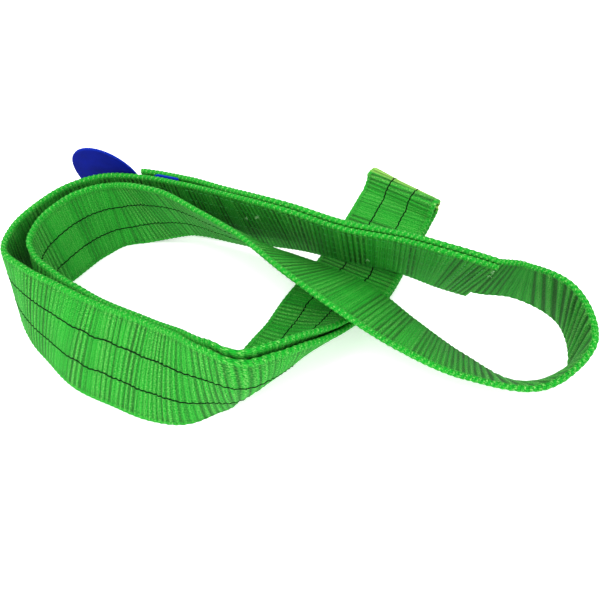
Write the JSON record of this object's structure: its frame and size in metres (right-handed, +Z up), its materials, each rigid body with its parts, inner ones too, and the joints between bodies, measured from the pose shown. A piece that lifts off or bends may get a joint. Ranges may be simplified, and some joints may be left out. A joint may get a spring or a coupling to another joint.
{
  "type": "flat web sling",
  "caption": "Endless flat web sling of green polyester webbing, its ends overlapped and sewn in a long splice with a blue label tab, lying in a loose coil.",
  "frame": {"origin": "middle of the laid sling's bounding box, on the surface it stands on", "axes": "+X along the laid sling towards the eye, +Y towards the far bight and the splice, +Z up"},
  "size_m": [0.3662, 0.2079, 0.0753],
  "materials": {
    "webbing_green": "woven polyester, slightly shiny",
    "tracer_black": "woven yarn",
    "thread_green": "polyester sewing thread",
    "label_blue": "coated woven tape, matte"
  },
  "bodies": {
    "sling": {"web_splice_near": "webbing_green", "web_coil_outer": "webbing_green", "web_band_lower": "webbing_green", "web_bight": "webbing_green", "web_band_upper": "webbing_green", "web_coil_inner": "webbing_green", "web_leg": "webbing_green", "web_eye": "webbing_green", "web_splice_far": "webbing_green", "tracer_top": "tracer_black", "tracer_low": "tracer_black", "seam_needle": "thread_green", "seam_bobbin": "thread_green", "tack_left_needle": "thread_green", "tack_left_bobbin": "thread_green", "tack_right_needle": "thread_green", "tack_right_bobbin": "thread_green", "label_root": "label_blue", "label_seam": "thread_green"},
    "label": {"label_tab": "label_blue"}
  },
  "joints": [
    {"name": "label_swing", "type": "hinge", "parent": "sling", "child": "label", "pos_m": [-0.10366, 0.06691, 0.03519], "axis": [-0.0251, -0.1635, 0.9862], "range_deg": [-75, 8]}
  ]
}
